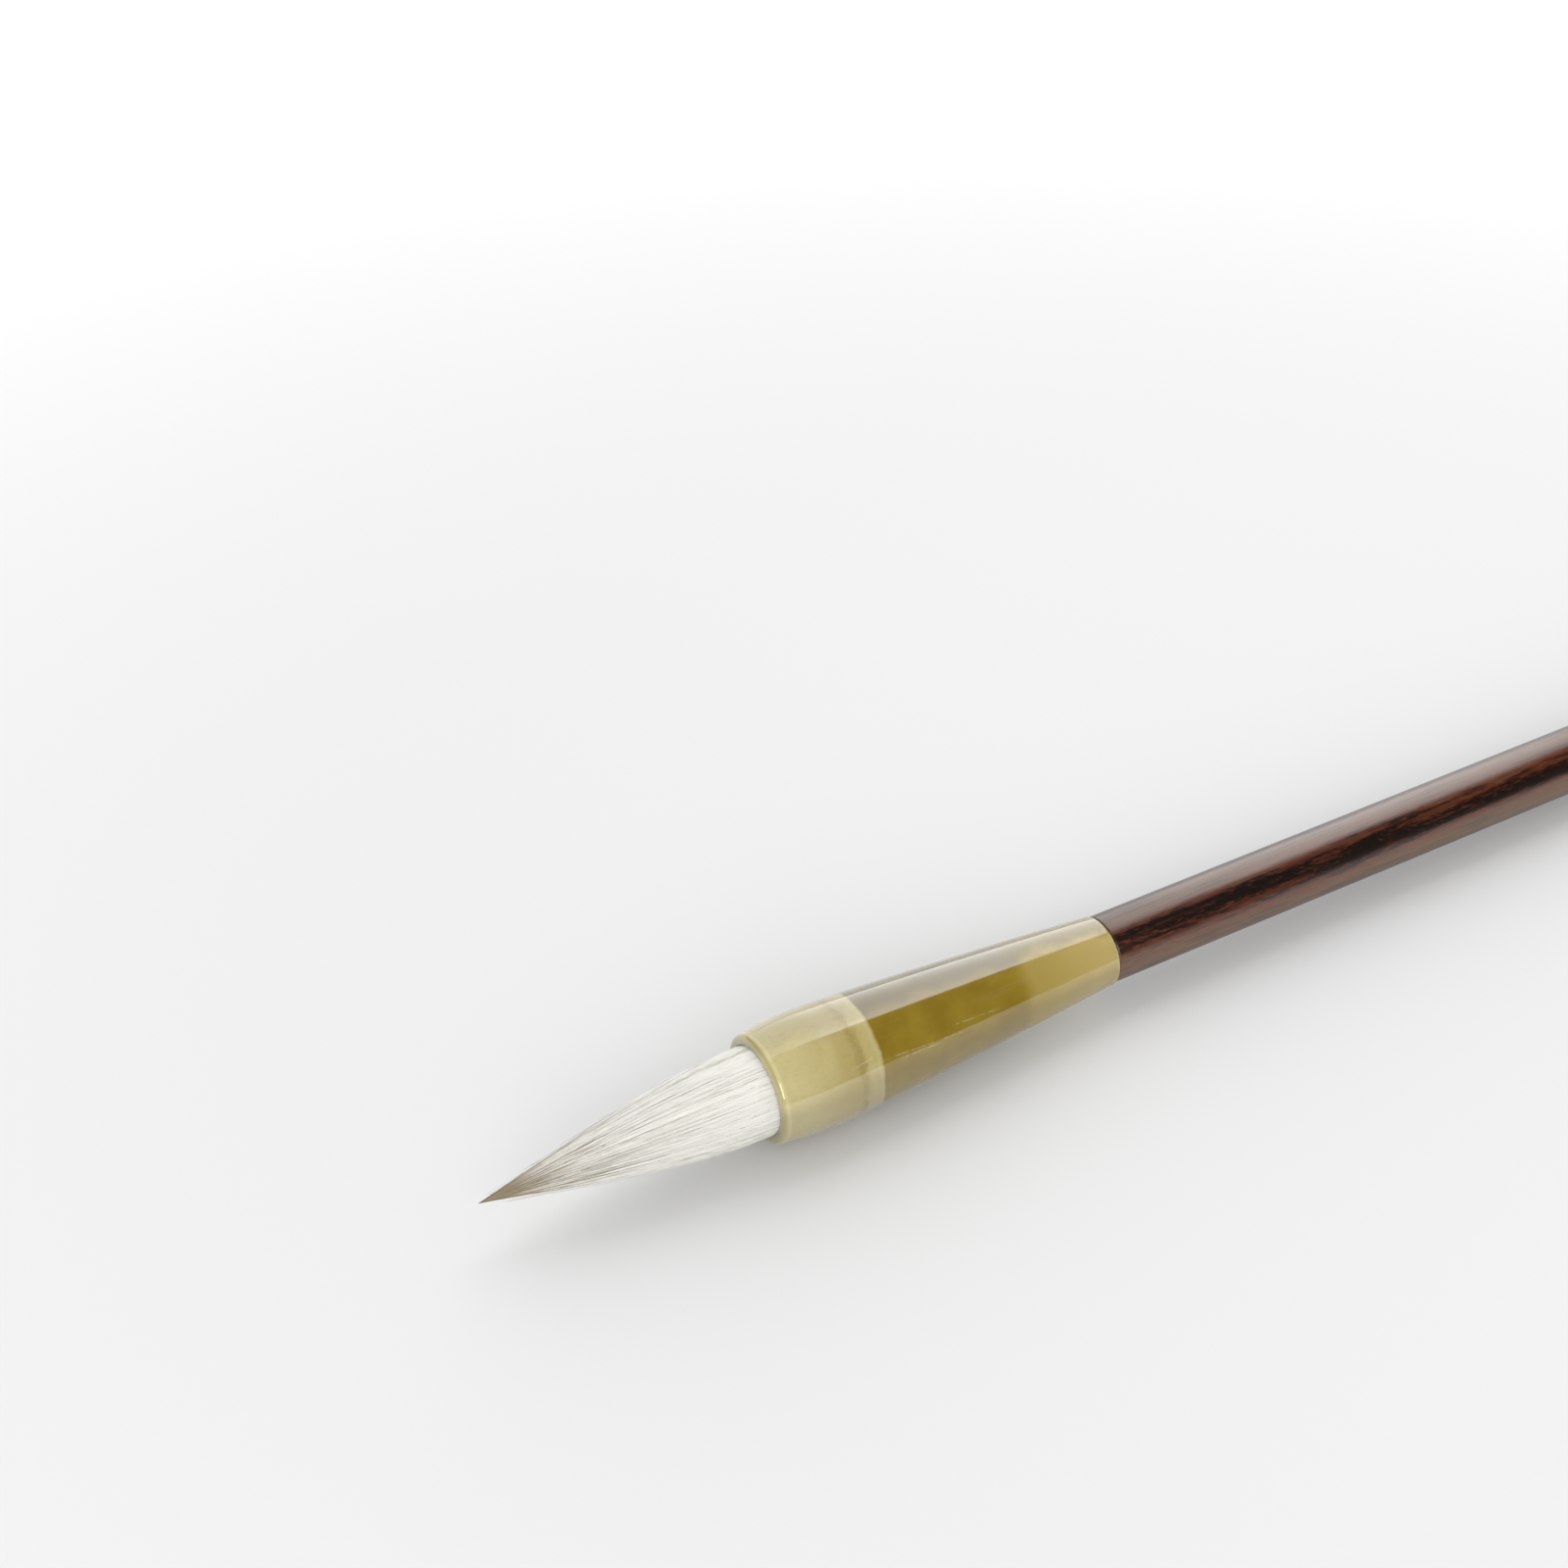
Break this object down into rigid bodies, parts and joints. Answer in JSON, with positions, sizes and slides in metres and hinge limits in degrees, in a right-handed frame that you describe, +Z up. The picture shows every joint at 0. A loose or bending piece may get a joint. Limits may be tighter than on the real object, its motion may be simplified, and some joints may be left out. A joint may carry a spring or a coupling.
{
  "type": "calligraphy brush",
  "caption": "Calligraphy brush lying on its side, with a pointed white hair tuft, a tapered translucent horn ferrule, a dark hardwood handle and a horn butt cap.",
  "frame": {"origin": "on the floor, under the middle of the brush's length and width", "axes": "+X along the brush from the tip of the hair towards the butt, +Z up; the brush's own axis slopes down 0.85 degrees towards the butt, as it rests on ferrule and cap"},
  "size_m": [0.2808, 0.0164, 0.0163],
  "materials": {
    "horn": "polished translucent horn",
    "white_hair": "fine straight hair",
    "silk_thread": "twisted thread",
    "rosin": "hardened resin",
    "pale_glue": "cured glue",
    "dark_wood": "lacquered dark rosewood"
  },
  "bodies": {
    "root": {"ferrule": "horn", "mantle_hairs": "white_hair", "secondary_hairs": "white_hair", "core_hairs": "white_hair", "root_binding_thread": "silk_thread", "rosin_seal": "rosin", "knot_glue": "pale_glue", "handle_shaft": "dark_wood", "tenon_glue": "pale_glue", "butt_cap": "horn", "cap_glue": "pale_glue"}
  },
  "joints": []
}
